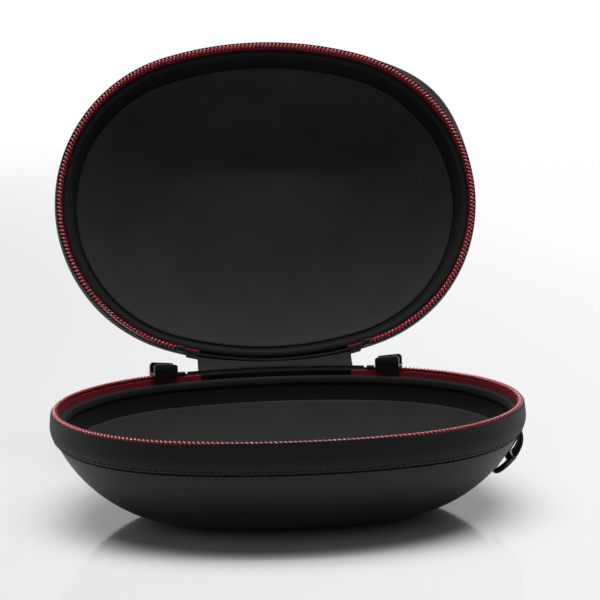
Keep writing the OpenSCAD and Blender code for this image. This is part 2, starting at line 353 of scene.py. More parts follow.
def map_cloth(piece: Piece, profile: Sequence[Pair]) -> None:
    """Gives a swept piece a map in millimetres: along the sweep, and along its profile.

    Args:
        piece: The piece, in zip-plane millimetres.
        profile: The profile that was swept.
    """
    mesh = piece.data
    spots = np.array([v.co for v in mesh.vertices])
    girth = np.r_[0.0, np.cumsum(np.hypot(*np.diff(profile, axis=0).T))]
    height = girth[nearest(spots, profile)]
    run, _, _ = plan(spots)
    whole = run_of(LINE.ring())
    layer = mesh.uv_layers.new(name="cloth")
    for face in mesh.polygons:
        runs = run[list(face.vertices)]
        wraps = runs.max() - runs.min() > whole / 2
        for loop, vertex in zip(face.loop_indices, face.vertices):
            lift = whole if wraps and run[vertex] < whole / 2 else 0.0
            layer.data[loop].uv = (run[vertex] + lift, height[vertex])


def nearest(spots: np.ndarray, profile: Sequence[Pair]) -> np.ndarray:
    """Finds the points of a profile that the points of its sweep come from.

    Args:
        spots: Rows of x, y and z.
        profile: The profile that was swept.

    Returns:
        One number of a profile's point a row.
    """
    _, out, _ = plan(spots)
    apart = np.c_[out, spots[:, 2]][:, None] - np.array(profile)
    return np.argmin((apart**2).sum(axis=2), axis=1)


def ramp(values: np.ndarray, low: float, high: float) -> np.ndarray:
    """The straight rise of values from 0 to 1 between two limits."""
    return np.clip((values - low) / (high - low), 0.0, 1.0)


def follow(piece: Piece, arcs: Sequence[Arc], out: float, cyclic: bool) -> None:
    """Bends a straight row in the zip plane along arcs.

    Args:
        piece: The row, along x.
        arcs: The arcs, end to end.
        out: Distance of the row outwards of them.
        cyclic: Whether the arcs close.
    """
    finer = 4
    spots = [arc.spot(step / (finer * arc.steps), out) for arc in arcs for step in range(finer * arc.steps)]
    if not cyclic:
        spots.append(arcs[-1].spot(1.0, out))
    curve = bpy.data.curves.new("guide", "CURVE")
    curve.dimensions = "2D"
    spline = curve.splines.new("POLY")
    spline.points.add(len(spots) - 1)
    for point, spot in zip(spline.points, spots):
        point.co = (*spot, 0.0, 1.0)
    spline.use_cyclic_u = cyclic
    guide = add_object("guide", curve)
    modify(piece, "CURVE", object=guide, deform_axis="POS_X")
    bpy.data.objects.remove(guide)


def stitch_row(name: str, arcs: Sequence[Arc], out: float, z: float, cyclic: bool, pitch: float = 2.6) -> Piece:
    """A row of stitches: one stitch, repeated and bent along arcs.

    Args:
        name: The new piece's name.
        arcs: The arcs, end to end.
        out: Distance of the row outwards of them, in millimetres.
        z: Height of the row.
        cyclic: Whether the row is closed.
        pitch: Distance from one stitch to the next.

    Returns:
        The new piece, in zip-plane millimetres.
    """
    count = round(run_of(arcs, out) / pitch)
    step = run_of(arcs, out) / count
    tidy()
    thick, long = 0.44, 0.65 * pitch
    bpy.ops.mesh.primitive_uv_sphere_add(segments=6, ring_count=4, radius=0.5, rotation=(0, math.pi / 2, 0))
    piece = bpy.context.object
    piece.name = name
    bpy.ops.object.mode_set(mode="EDIT")
    bpy.ops.transform.resize(value=(thick, thick, long), orient_type="LOCAL")
    bpy.ops.object.mode_set(mode="OBJECT")
    bpy.ops.object.transform_apply(location=True, rotation=True, scale=True)
    piece.data.transform(Matrix.Translation((step / 2, 0, 0)))
    apart = {"use_constant_offset": True, "constant_offset_displace": (step, 0, 0)}
    modify(piece, "ARRAY", count=count, use_relative_offset=False, **apart)
    follow(piece, arcs, out, cyclic)
    piece.data.transform(Matrix.Translation((0, 0, z)))
    smooth(piece, 80)
    return piece


def settle(piece: Piece, half: Half) -> None:
    """Moves a piece to its place in the frame.

    Args:
        piece: The piece, in zip-plane millimetres.
        half: The half that it belongs to.
    """
    piece.data.transform(LINE.place(half))
    if half is Half.LID:
        piece.data.flip_normals()


def node_copy(node: str, round_mm: float, segments: int = 2) -> Piece:
    """A copy of a CAD node with its edges rounded.

    Args:
        node: The CAD node.
        round_mm: Width of the rounding.
        segments: Faces across the rounding.

    Returns:
        The new piece, which stands for the node.
    """
    piece = add_object(f"{node}_look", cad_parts[node].data.copy())
    piece.data.materials.clear()
    pick(piece)
    bpy.ops.object.mode_set(mode="EDIT")
    bpy.ops.mesh.select_all(action="SELECT")
    bpy.ops.mesh.remove_doubles(threshold=1e-6)
    bpy.ops.mesh.dissolve_limited(angle_limit=math.radians(1))
    bevel(piece, round_mm * MM, segments, 40)
    smooth(piece)
    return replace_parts(piece, node)


def dress_node(node: str, material: Material) -> None:
    """Dresses a CAD node that no piece stands for.

    Args:
        node: The CAD node.
        material: Its finish.
    """
    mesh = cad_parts[node].data
    mesh.materials.clear()
    mesh.materials.append(material)


def finish_piece(piece: Piece, material: Material, body: str | None) -> Piece:
    """Dresses a piece and sets it on its body.

    Args:
        piece: The piece, in its place in the frame.
        material: Its finish.
        body: The body that it rides on, or None to leave it on no body.

    Returns:
        The piece.
    """
    piece.data.materials.clear()
    piece.data.materials.append(material)
    if body:
        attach(piece, body)
    LOG.info("%s: %d faces", piece.name, len(piece.data.polygons))
    return piece


class Wire:
    """A shader socket. Arithmetic on it adds Math nodes."""

    def __init__(self, tree: "Tree", socket: bpy.types.NodeSocket) -> None:
        """Keeps the socket and the tree that it belongs to."""
        self.tree = tree
        self.socket = socket

    def maths(self, operation: str, first: object, second: object = 0.0) -> "Wire":
        """A Math node on two values."""
        return self.tree.node("Math", {"operation": operation}, {0: first, 1: second})

    def __add__(self, other: object) -> "Wire":
        """Sum."""
        return self.maths("ADD", self, other)

    def __sub__(self, other: object) -> "Wire":
        """Difference."""
        return self.maths("SUBTRACT", self, other)

    def __rsub__(self, other: object) -> "Wire":
        """Difference from a number."""
        return self.maths("SUBTRACT", other, self)

    def __mul__(self, other: object) -> "Wire":
        """Product."""
        return self.maths("MULTIPLY", self, other)

    def sine(self) -> "Wire":
        """Sine, of radians."""
        return self.maths("SINE", self)

    def clipped(self) -> "Wire":
        """The value, kept between 0 and 1."""
        return self.tree.node("Clamp", {}, {0: self})

    def larger(self, other: object) -> "Wire":
        """The larger of two values."""
        return self.maths("MAXIMUM", self, other)

    __radd__ = __add__
    __rmul__ = __mul__


class Tree:
    """A node tree under construction."""

    def __init__(self, owner: Material | bpy.types.World) -> None:
        """Clears the owner's tree.

        Args:
            owner: The material or world that the tree belongs to.
        """
        owner.use_nodes = True
        self.tree = owner.node_tree
        self.tree.nodes.clear()

    def node(self, kind: str, settings: dict | None = None, sockets: dict | None = None, out: int | str = 0) -> Wire:
        """Adds a node.

        Args:
            kind: The node's type, after its ShaderNode.
            settings: Its fields, set first.
            sockets: Values or wires of its inputs, by name or number.
            out: The output to return.

        Returns:
            That output.
        """
        made = self.tree.nodes.new(f"ShaderNode{kind}")
        for name, value in (settings or {}).items():
            setattr(made, name, value)
        for name, value in (sockets or {}).items():
            self.plug(made.inputs[name], value)
        return Wire(self, made.outputs[out]) if made.outputs else Wire(self, made.inputs[0])

    def ray(self, kind: str) -> Wire:
        """1 for rays of a kind: Camera, Glossy or Transmission."""
        return self.node("LightPath", out=f"Is {kind} Ray")

    def mirrored(self) -> Wire:
        """1 for rays off shiny surfaces or through clear ones."""
        return self.ray("Glossy").larger(self.ray("Transmission"))

    def part(self, vector: Wire, axis: str) -> Wire:
        """One coordinate of a vector."""
        return self.node("SeparateXYZ", {}, {0: vector}, axis)

    def length(self, vector: Wire) -> Wire:
        """A vector's length."""
        return self.node("VectorMath", {"operation": "LENGTH"}, {0: vector}, "Value")

    def ease(self, value: Wire, low: float, high: float) -> Wire:
        """A value's smooth rise from 0 to 1 between two limits."""
        span = {"Value": value, "From Min": low, "From Max": high}
        return self.node("MapRange", {"interpolation_type": "SMOOTHSTEP"}, span)

    def plug(self, socket: bpy.types.NodeSocket, value: object) -> None:
        """Links a socket or sets its value.

        Args:
            socket: An input.
            value: A wire to link, or a plain value.
        """
        if isinstance(value, Wire):
            self.tree.links.new(value.socket, socket)
        else:
            socket.default_value = value


class Shader(Tree):
    """A material under construction, round one Principled shader."""

    def __init__(self, name: str) -> None:
        """Starts a material of that name."""
        self.material = bpy.data.materials.new(name)
        super().__init__(self.material)

    def principled(self, **sockets: object) -> Wire:
        """A Principled shader with those sockets, whose names have _ for a space."""
        named = {name.replace("_", " "): value for name, value in sockets.items()}
        return self.node("BsdfPrincipled", {}, named)

    def dress(self, **sockets: object) -> Material:
        """The finished material, with a Principled shader as its surface."""
        self.node("OutputMaterial", {}, {"Surface": self.principled(**sockets)})
        return self.material

    def spot(self) -> Wire:
        """Object coordinates, in metres."""
        return self.node("TexCoord", out="Object")

    def cloth(self) -> tuple[Wire, Wire]:
        """The cloth map's two directions, in millimetres."""
        both = self.node("UVMap", {"uv_map": "cloth"})
        return self.part(both, "X"), self.part(both, "Y")

    def noise(self, per_mm: float, detail: float = 2.0, roughness: float = 0.5) -> Wire:
        """Noise with that many cells to the millimetre."""
        sockets = {"Vector": self.spot(), "Scale": per_mm / MM, "Detail": detail, "Roughness": roughness}
        return self.node("TexNoise", {}, sockets)

    def cells(self, per_mm: float) -> Wire:
        """Distance from the middles of irregular cells."""
        return self.node("TexVoronoi", {}, {"Vector": self.spot(), "Scale": per_mm / MM}, "Distance")

    def weave(self, pitch: float) -> Wire:
        """Over and under of a plain weave on the cloth map, from 0 to 1."""
        along, across = self.cloth()
        return (along * (math.pi / pitch)).sine() * (across * (math.pi / pitch)).sine() * 0.5 + 0.5

    def blend(self, share: Wire, low: Colour | Wire, high: Colour | Wire) -> Wire:
        """A colour between two, by a share."""
        return self.node("Mix", {"data_type": "RGBA"}, {0: share, 6: low, 7: high}, 2)

    def bump(self, height: Wire, depth_mm: float, strength: float = 1.0) -> Wire:
        """A normal from a height of 0 to 1 over a depth."""
        return self.node("Bump", {}, {"Strength": strength, "Distance": depth_mm * MM, "Height": height})


@dataclass(frozen=True)
class Leatherette:
    """Moulded skin: a fine pebble grain with a soft sheen."""

    name: str = "moulded_skin"
    dark: float = 0.008
    light: float = 0.014
    grain_per_mm: float = 1.6

    def material(self) -> Material:
        """Builds the finish.

        Returns:
            The material.
        """
        shader = Shader(self.name)
        grain = shader.cells(self.grain_per_mm)
        cloud = shader.noise(0.06, 3.0)
        height = grain * 0.7 + shader.noise(4.0) * 0.3
        return shader.dress(
            Base_Color=shader.blend(cloud, grey(self.dark), grey(self.light)),
            Roughness=cloud * 0.1 + 0.42,
            Specular_IOR_Level=0.23,
            Normal=shader.bump(height, 0.05, 0.7),
        )


@dataclass(frozen=True)
class Woven:
    """Plain-woven cloth on the cloth map."""

    name: str
    dark: Colour
    light: Colour
    pitch: float
    depth: float = 0.12
    rough: float = 0.8
    sheen: float = 0.05
    shine: float = 0.3

    def material(self) -> Material:
        """Builds the finish.

        Returns:
            The material.
        """
        shader = Shader(self.name)
        weave = shader.weave(self.pitch)
        fuzz = shader.noise(3.0, 3.0)
        share = (weave * 0.75 + shader.noise(0.15, 2.0) * 0.5 - 0.1).clipped()
        return shader.dress(
            Base_Color=shader.blend(share, self.dark, self.light),
            Roughness=fuzz * 0.15 + self.rough - 0.1,
            Specular_IOR_Level=self.shine,
            Sheen_Weight=self.sheen,
            Sheen_Roughness=0.5,
            Normal=shader.bump(weave * 0.8 + fuzz * 0.2, self.depth),
        )


@dataclass(frozen=True)
class Brushed:
    """Brushed lining cloth: short nap over a fine knit. Where the pile attribute is low, on the groove and wall, the
    colour is a painted shade and the nap is flat.
    """

    name: str = "lining_cloth"
    # Painted shade: the dark colour of the groove and wall, standing in for their shadow.
    groove_painted_shade: float = 0.004
    dark: float = 0.018
    light: float = 0.046

    def material(self) -> Material:
        """Builds the finish.

        Returns:
            The material.
        """
        shader = Shader(self.name)
        # Mask: 1 on the brushed panel, 0 on the groove and wall, which get the painted shade; it also limits the nap's
        # bump.
        pile_vs_shaded_groove = shader.node("Attribute", {"attribute_name": "pile_vs_shaded_groove"}, out="Fac")
        nap = shader.noise(2.2, 4.0, 0.65)
        patch = shader.noise(0.05, 2.0)
        share = (nap * 0.7 + patch * 0.6 - 0.15).clipped()
        brushed = shader.blend(share, grey(self.dark), grey(self.light))
        return shader.dress(
            Base_Color=shader.blend(pile_vs_shaded_groove, grey(self.groove_painted_shade), brushed),
            Roughness=nap * 0.1 + 0.85,
            Specular_IOR_Level=0.15,
            Sheen_Weight=0.08,
            Sheen_Roughness=0.45,
            Normal=shader.bump(nap * pile_vs_shaded_groove, 0.1, 0.8),
        )


@dataclass(frozen=True)
class Moulded:
    """Moulded or cast matter: plastic, lacquered metal or foam."""

    name: str
    dark: Colour
    light: Colour
    rough: float
    metal: float = 0.0
    coat: float = 0.0
    shine: float = 0.5
    pits_per_mm: float = 1.2
    depth: float = 0.02

    def material(self) -> Material:
        """Builds the finish.

        Returns:
            The material.
        """
        shader = Shader(self.name)
        worn = shader.noise(self.pits_per_mm, 3.0)
        return shader.dress(
            Base_Color=shader.blend(worn, self.dark, self.light),
            Roughness=worn * 0.16 + self.rough - 0.08,
            Metallic=self.metal,
            Specular_IOR_Level=self.shine,
            Coat_Weight=self.coat,
            Coat_Roughness=0.06,
            Coat_IOR=1.8,
            Normal=shader.bump(shader.noise(self.pits_per_mm * 4, 2.0), self.depth, 0.5),
        )


class Finishes:
    """The finishes of the case, one of each."""

    def __init__(self) -> None:
        """Makes the materials."""
        self.skin = Leatherette().material()
        self.band = Woven("woven_band", grey(0.001), grey(0.006), 0.75, rough=0.66, sheen=0.08, shine=0.2).material()
        self.lining = Brushed().material()
        self.binding = Woven("rim_binding", grey(0.002), grey(0.006), 0.5, 0.08, sheen=0.02).material()
        self.tape = Woven("zip_tape", (0.16, 0.004, 0.010, 1), (0.34, 0.010, 0.024, 1), 0.55, 0.06, 0.6).material()
        self.hinge = Woven("hinge_cloth", grey(0.004), grey(0.012), 0.55).material()
        self.webbing = Woven("webbing", grey(0.003), grey(0.009), 0.7, 0.15).material()
        self.coil = Moulded("zip_coil", (0.36, 0.004, 0.012, 1), (0.54, 0.012, 0.026, 1), 0.16, coat=1.0).material()
        self.thread = Moulded("thread", grey(0.002), grey(0.005), 0.7, shine=0.1, pits_per_mm=6).material()
        self.metal = Moulded("black_metal", grey(0.03), grey(0.06), 0.24, 0.85).material()
        self.pull = Moulded("pull_plastic", grey(0.010), grey(0.018), 0.4).material()
        self.foam = Moulded("foam_core", grey(0.05), grey(0.09), 0.9, pits_per_mm=2.0, depth=0.1).material()


@dataclass(frozen=True)
class BandForm:
    """The woven band's cross-section, a shallow arc. Sizes are in millimetres."""

    height: float = 13.4
    swell: float = 1.7

    @property
    def radius(self) -> float:
        """Radius of the arc."""
        return (self.height**2 / 4 + self.swell**2) / (2 * self.swell)

    def out(self, z: float, lift: float = 0.0) -> float:
        """How far out the band, or a face lifted off it, lies at a height."""
        return self.swell - self.radius + math.sqrt((self.radius + lift) ** 2 - (z + self.height / 2) ** 2)


BAND = BandForm()


@dataclass(frozen=True)
class Slack:
    """How far a half's band stands out, bulges at its front right corner and rises at the front, in millimetres."""

    stand: float
    bulge: float
    lip_rise: float


SLACK = {Half.BASE: Slack(0.5, 0.0, 0.65), Half.LID: Slack(0.8, 3.6, 0.0)}


@dataclass
class HalfPieces:
    """Pieces that one half carries."""

    half: Half
    finishes: Finishes

    def named(self, what: str) -> str:
        """The name of a piece of this half."""
        return f"{self.half.value}_{what}_look"

    def keep(self, piece: Piece, material: Material, slot: str, node: str = "") -> Piece:
        """Settles and dresses a piece of this half.

        Args:
            piece: The piece, in zip-plane millimetres.
            material: Its finish.
            slot: Not used.
            node: The CAD node that it stands for, without the half's name, if there is one.

        Returns:
            The piece.
        """
        if node:
            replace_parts(piece, f"{self.half.value}_{node}")
        settle(piece, self.half)
        return finish_piece(piece, material, self.half.value)


@dataclass
class MouldedHalf(HalfPieces):
    """A half's skin, band, seam stitches, lining and rim binding.

    Sizes are in millimetres and turns in degrees. Runs are distances along the rim, from the middle of the hinge or of
    the front, over which the band comes free of the hinge, clears the coil or loses its rise.
    """

    slack: Slack
    shell_r: float = 56.462
    shell_u: float = -51.672
    shell_turns: Pair = (27.5, 90.0)
    skin_t: float = 0.95
    skin_lip: tuple[Pair, ...] = ((-1.62, -14.0), (-1.3, -13.78), (-1.0, -13.74), (-0.78, -13.95))
    lining_r: float = 52.86
    lining_t: float = 0.7
    lining_turns: Pair = (90.0, 28.5)
    wall_foot: float = -12.0
    wall_top: tuple[Pair, ...] = ((-2.49, -6.2), (-3.26, -6.2))
    panel_t: float = 1.3
    panel_top: float = -15.0
    panel_turn: float = 2.2
    panel_edge: tuple[Pair, ...] = ((0.5, 0.0), (0.95, 0.15), (1.2, 0.5), (1.3, 1.1))
    cloth_t: float = 0.9
    band_top: float = -2.5
    band_face: Pair = (-2.9, -12.65)
    band_lip: tuple[Pair, ...] = ((0.35, -2.62), (0.7, -2.4), (0.72, -1.78), (0.86, -1.6), (1.02, -1.76), (1.08, -2.2))
    hem_top: float = -12.9
    band_hem: tuple[Pair, ...] = ((-0.12, -13.0), (-0.6, -13.1))
    stitch_z: float = -12.05
    stitch_lift: float = 0.02
    free_runs: Pair = (46.0, 80.0)
    lip_runs: Pair = (41.0, 45.0)
    lip_heights: Pair = (-5.0, -2.9)
    lip_out: float = 0.55
    rise_runs: Pair = (26.0, 40.0)
    rise_heights: Pair = (-2.45, -1.85)
    corner_run: float = 37.0
    corner_width: float = 24.0
    binding: tuple[Pair, ...] = (
        (-1.1, -5.78), (-1.08, -5.2), (-1.2, -4.9), (-1.5, -4.78), (-2.3, -4.72), (-3.05, -4.82), (-3.55, -5.1),
        (-3.8, -5.5), (-4.25, -7.4), (-4.2, -7.62), (-3.95, -7.66), (-3.7, -7.5), (-3.3, -5.85),
    )  # fmt: skip

    def shell(self, radius: float, degrees: float) -> Pair:
        """A point of a shell arc, at an angle down from level."""
        turn = math.radians(degrees)
        return (self.shell_u + radius * math.cos(turn), self.shell_r - LINE.half_h - radius * math.sin(turn))

    def shell_at(self, radius: float, z: float) -> float:
        """How far out a shell arc lies at a height."""
        return self.shell_u + math.sqrt(radius**2 - (self.shell_r - LINE.half_h - z) ** 2)

    def slacken(self, piece: Piece) -> None:
        """Lays the band's lip outside the coil and lets the band stand out, but not under the hinge.

        Args:
            piece: The band, or a piece on it, in zip-plane millimetres.
        """
        spots = np.array([v.co for v in piece.data.vertices])
        run, _, away = plan(spots)
        z = spots[:, 2]
        right, back, left, front = (run_of([arc]) for arc in LINE.ring())
        from_hinge = np.abs(run - right - back / 2)
        from_front = np.abs(run - right - back - left - front / 2)
        crown = np.sin(np.pi * ramp(self.band_top - z, 0.0, BAND.height + self.band_top))
        corner = np.exp(-(((run - self.corner_run) / self.corner_width) ** 2))
        free = ramp(from_hinge, *self.free_runs)
        lip = ramp(from_hinge, *self.lip_runs) * ramp(z, *self.lip_heights)
        edge = (1.0 - ramp(from_front, *self.rise_runs)) * ramp(z, *self.rise_heights)
        out = self.slack.stand * free * crown + self.slack.bulge * corner * crown**3 + self.lip_out * lip
        up = self.slack.lip_rise * edge
        for vertex, push, lift in zip(piece.data.vertices, away * out[:, None], up):
            vertex.co += Vector((*push, lift))

    def build_skin(self) -> None:
        """The moulded skin, from the inner flat up to its rolled top edge and down to the outer flat."""
        steps = np.linspace(*self.shell_turns, 20)
        inner = [self.shell(self.shell_r - self.skin_t, a) for a in steps[::-1]]
        outer = [self.shell(self.shell_r, a) for a in steps]
        piece = sweep(self.named("skin"), [*inner, *self.skin_lip, *outer], LINE.ring(), False)
        smooth(piece, 50)
        self.keep(piece, self.finishes.skin, "moulded_skin", "skin")

    def build_band(self) -> None:
        """The woven band, whose edges are turned in at the zip and at the seam."""
        heights = np.linspace(*self.band_face, 12)
        outer = [(BAND.out(z), z) for z in heights]
        inner = [(BAND.out(z, -self.cloth_t), z) for z in heights[::-1]]
        hem = [(BAND.out(self.hem_top) + u, z) for u, z in self.band_hem]
        piece = sweep(self.named("band"), [*self.band_lip, *outer, *hem, *inner], LINE.ring(), True)
        self.slacken(piece)
        smooth(piece, 60)
        self.keep(piece, self.finishes.band, "woven_band", "band")

    def build_stitches(self) -> None:
        """The row of stitches above the seam."""
        out = BAND.out(self.stitch_z) + self.stitch_lift
        piece = stitch_row(self.named("stitches"), LINE.ring(), out, self.stitch_z, True)
        self.slacken(piece)
        self.keep(piece, self.finishes.thread, "woven_band")

    def build_lining(self) -> None:
        """The padded lining: a thin wall behind the rim, a groove painted darker as shade, and the brushed panel with a
        round edge.
        """
        thin_r = self.lining_r - self.lining_t
        start = math.degrees(math.asin((self.shell_r - LINE.half_h - self.panel_top) / thin_r))
        hidden = [self.shell(self.lining_r, a) for a in np.linspace(*self.lining_turns, 16)]
        wall = [(self.shell_at(self.lining_r, self.wall_foot), self.wall_foot), *self.wall_top]
        groove = [(self.shell_at(thin_r, z), z) for z in np.linspace(self.wall_foot, self.panel_top, 5)]
        edge = [self.shell(thin_r - lift, start + turn) for lift, turn in self.panel_edge]
        panel = [self.shell(thin_r - self.panel_t, a) for a in np.linspace(start + self.panel_turn, 90.0, 20)]
        profile = hidden + wall + groove + edge + panel
        piece = sweep(self.named("lining"), profile, LINE.ring(), False)
        spots = np.array([v.co for v in piece.data.vertices])
        # The panel gets the brushed colour; the rest gets the painted shade of the groove.
        brushed = nearest(spots, profile) > len(profile) - len(panel) - len(edge)
        pile_vs_shaded_groove = piece.data.attributes.new("pile_vs_shaded_groove", "FLOAT", "POINT")
        pile_vs_shaded_groove.data.foreach_set("value", brushed.astype(np.float32))
        smooth(piece, 45)
        self.keep(piece, self.finishes.lining, "lining_cloth", "lining")

    def build_binding(self) -> None:
        """The tape folded over the top edges of foam and lining."""
        piece = sweep(self.named("rim_binding"), self.binding, LINE.ring(), True)
        smooth(piece, 50)
        self.keep(piece, self.finishes.binding, "rim_binding", "rim_binding")

    def build(self) -> None:
        """Builds the half in order."""
        self.build_skin()
        self.build_band()
        self.build_stitches()
        self.build_lining()
        self.build_binding()
        dress_node(f"{self.half.value}_foam", self.finishes.foam)


@dataclass
class ZipHalf(HalfPieces):
    """One side of the zip: tape, filler cord, coil and end stops. Sizes are in millimetres."""

    tail: float = math.radians(4)
    tape: tuple[Pair, ...] = (
        (-0.97, -11.0), (-0.97, -2.65), (-0.87, -2.55), (-0.02, -2.55),
        (0.08, -2.65), (0.08, -2.95), (-0.57, -2.95), (-0.57, -11.0),
    )  # fmt: skip
    coil_pitch: float = 1.75
    coil_z: float = -1.55
    coil_r: float = 0.76
    wire_r: float = 0.44
    coil_rise: float = 0.79
    cord_r: float = 0.4
    cord_sides: int = 8
    loop_steps: int = 10
    wire_sides: int = 6
    stop_round: float = 0.3

    def build_tape(self) -> None:
        """The tape, with the flange that the coil is sewn to."""
        piece = sweep(self.named("zip_tape"), self.tape, LINE.opening(self.tail), True)
        smooth(piece, 40)
        self.keep(piece, self.finishes.tape, "zip_tape", "zip_tape")

    def build_coil(self) -> None:
        """The coil: a wire wound straight, flattened, and bent along the zip."""
        arcs = LINE.opening(0.0)[1:4]
        length = run_of(arcs)
        loops = round(length / self.coil_pitch)
        tidy()
        bpy.ops.mesh.primitive_circle_add(vertices=self.wire_sides, radius=self.wire_r, location=(0, self.coil_r, 0))
        piece = bpy.context.object
        piece.name = self.named("zip_coil")
        bpy.ops.object.transform_apply(location=True, rotation=True, scale=True)
        wound = {"axis": "X", "angle": 2 * math.pi, "iterations": loops, "screw_offset": length / loops}
        modify(piece, "SCREW", steps=self.loop_steps, render_steps=self.loop_steps, **wound)
        piece.data.transform(Matrix.Diagonal((1, 1, self.coil_rise, 1)))
        follow(piece, arcs, 0.0, False)
        piece.data.transform(Matrix.Translation((0, 0, self.coil_z)))
        pick(piece)
        bpy.ops.object.mode_set(mode="EDIT")
        close_mesh()
        smooth(piece, 90)
        self.keep(piece, self.finishes.coil, "zip_coil", "zip_coil")

    def build_cord(self) -> None:
        """The filler cord that the coil is wound round."""
        turns = [2 * math.pi * i / self.cord_sides for i in range(self.cord_sides)]
        profile = [(self.cord_r * math.cos(a), self.coil_z + self.cord_r * math.sin(a)) for a in turns]
        piece = sweep(self.named("zip_cord"), profile, LINE.opening(0.0)[1:4], True)
        smooth(piece, 60)
        self.keep(piece, self.finishes.tape, "zip_tape")

    def build(self) -> None:
        """Builds this side of the zip in order."""
        self.build_tape()
        self.build_cord()
        self.build_coil()
        stops = node_copy(f"{self.half.value}_zip_stops", self.stop_round)
        finish_piece(stops, self.finishes.metal, self.half.value)


@dataclass
class ZipSlider:
    """A slider and the pull that hangs from it, with the widths of their rounding in millimetres."""

    side: str
    finishes: Finishes
    slider_round: float = 0.3
    pull_round: float = 0.35
    round_faces: int = 3

    def build(self) -> None:
        """Rounds the edges of both and dresses them."""
        slider, pull = f"{self.side}_slider", f"{self.side}_pull"
        metal = node_copy(slider, self.slider_round, self.round_faces)
        finish_piece(metal, self.finishes.metal, slider)
        plastic = node_copy(pull, self.pull_round, self.round_faces)
        finish_piece(plastic, self.finishes.pull, pull)


@dataclass
class ClothHinge:
    """The cloth leaves on both bands, and the strip that folds between them. Sizes are in millimetres."""

    finishes: Finishes
    leaf_a: float = math.radians(14.26)
    leaf_top: float = -0.9
    leaf_foot: float = -12.0
    leaf_t: float = 0.75
    leaf_lift: float = 0.85
    leaf_round: float = 0.15
    leaf_steps: int = 28
    stitch_rise: float = 0.45
    strip_half: float = 34.0
    strip_t: float = 0.6
    strip_lift: float = 0.05
    strip_edge: float = 0.8
    strip_run: float = 10.2
    strip_map: float = 13.0
    fold_start: float = 0.8
    fold_reach: float = 1.1
    columns: int = 36
    rows: int = 8

    def leaf_out(self, z: float) -> float:
        """How far out the outer face of a leaf lies at a height."""
        return BAND.out(z, self.leaf_lift)

    def build_leaf(self, half: Half) -> None:
        """A leaf sewn to the outside of a band.

        Args:
            half: The half that it is sewn to.
        """
        heights = np.linspace(self.leaf_top, self.leaf_foot, 10)
        outer = [(self.leaf_out(z), z) for z in heights]
        inner = [(self.leaf_out(z) - self.leaf_t, z) for z in heights[::-1]]
        arcs = [LINE.back(-self.leaf_a, self.leaf_a, self.leaf_steps)]
        piece = sweep(f"{half.value}_hinge_leaf_look", outer + inner, arcs, True)
        bevel(piece, self.leaf_round, 2, 60)
        smooth(piece, 50)
        pieces = HalfPieces(half, self.finishes)
        pieces.keep(piece, self.finishes.hinge, "hinge_cloth", "hinge_leaf")
        z = self.leaf_foot + self.stitch_rise
        stitches = stitch_row(f"{half.value}_hinge_stitches", arcs, self.leaf_out(z), z, False)
        pieces.keep(stitches, self.finishes.thread, "hinge_cloth")

    def strip_spot(self, x: float, half: Half, share: float) -> Vector:
        """A point of the strip's middle layer.

        Args:
            x: Place across the case.
            half: The half that the point lies on.
            share: 0 at the strip's sewn edge, 1 at the fold.

        Returns:
            The point, in the frame.
        """
        z = self.leaf_foot + self.strip_edge + self.strip_run * min(share / self.fold_start, 1.0)
        reach = LINE.long_r + self.leaf_out(z) + self.strip_lift
        y = math.sqrt(reach**2 - x**2) - LINE.long_c
        if share > self.fold_start:
            fold = (share - self.fold_start) / (1.0 - self.fold_start)
            y += (LINE.axis_y - y) * fold
            z -= z * fold
        return LINE.place(half) @ Vector((x, y, z))

    def build_strip(self) -> None:
        """The strip: a grid laid over both leaves and the fold, thickened, and left on neither body."""
        tidy()
        bpy.ops.mesh.primitive_grid_add(x_subdivisions=self.columns, y_subdivisions=2 * self.rows, size=2)
        piece = bpy.context.object
        piece.name = "hinge_strip"
        layer = piece.data.uv_layers.new(name="cloth")
        for vertex in piece.data.vertices:
            across, along = vertex.co.x, vertex.co.y
            half = Half.BASE if along < 0 else Half.LID
            vertex.co = self.strip_spot(across * self.strip_half, half, 1 - abs(along))
        for loop in piece.data.loops:
            row, column = divmod(loop.vertex_index, self.columns + 1)
            spot = (column * 2 * self.strip_half / self.columns, row * self.strip_map / self.rows)
            layer.data[loop.index].uv = spot
        modify(piece, "SOLIDIFY", thickness=self.strip_t * MM, offset=0.0)
        modify(piece, "SUBSURF", levels=1, render_levels=1)
        smooth(piece, 60)
        finish_piece(piece, self.finishes.hinge, None)
        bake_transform(piece)

    def build(self) -> None:
        """Builds the hinge in order."""
        self.build_leaf(Half.BASE)
        self.build_leaf(Half.LID)
        self.build_strip()


@dataclass
class StrapRing:
    """The webbing tab in the seam, and the ring that swings in it. Sizes are in millimetres."""

    finishes: Finishes
    tab_round: float = 0.2

    def build(self) -> None:
        """Rounds the tab's edges and dresses tab and ring."""
        tab = node_copy("strap_tab", self.tab_round)
        layer = tab.data.uv_layers.new(name="cloth")
        for loop in tab.data.loops:
            spot = tab.data.vertices[loop.vertex_index].co
            layer.data[loop.index].uv = (spot.y / MM, spot.z / MM)
        finish_piece(tab, self.finishes.webbing, "base")
        dress_node("strap_ring", self.finishes.metal)


@dataclass(frozen=True)
class Lamp:
    """A soft rectangular light: its place and sides in metres, and its watts."""

    name: str
    spot: Spot
    sides: Pair
    power: float

    def build(self, aim: Vector) -> None:
        """Hangs the lamp.

        Args:
            aim: The point that it faces.
        """
        data = bpy.data.lights.new(self.name, "AREA")
        data.shape = "RECTANGLE"
        data.size, data.size_y = self.sides
        data.energy = self.power
        lamp = add_object(self.name, data)
        lamp.location = self.spot
        lamp.rotation_euler = (aim - Vector(self.spot)).to_track_quat("-Z", "Y").to_euler()


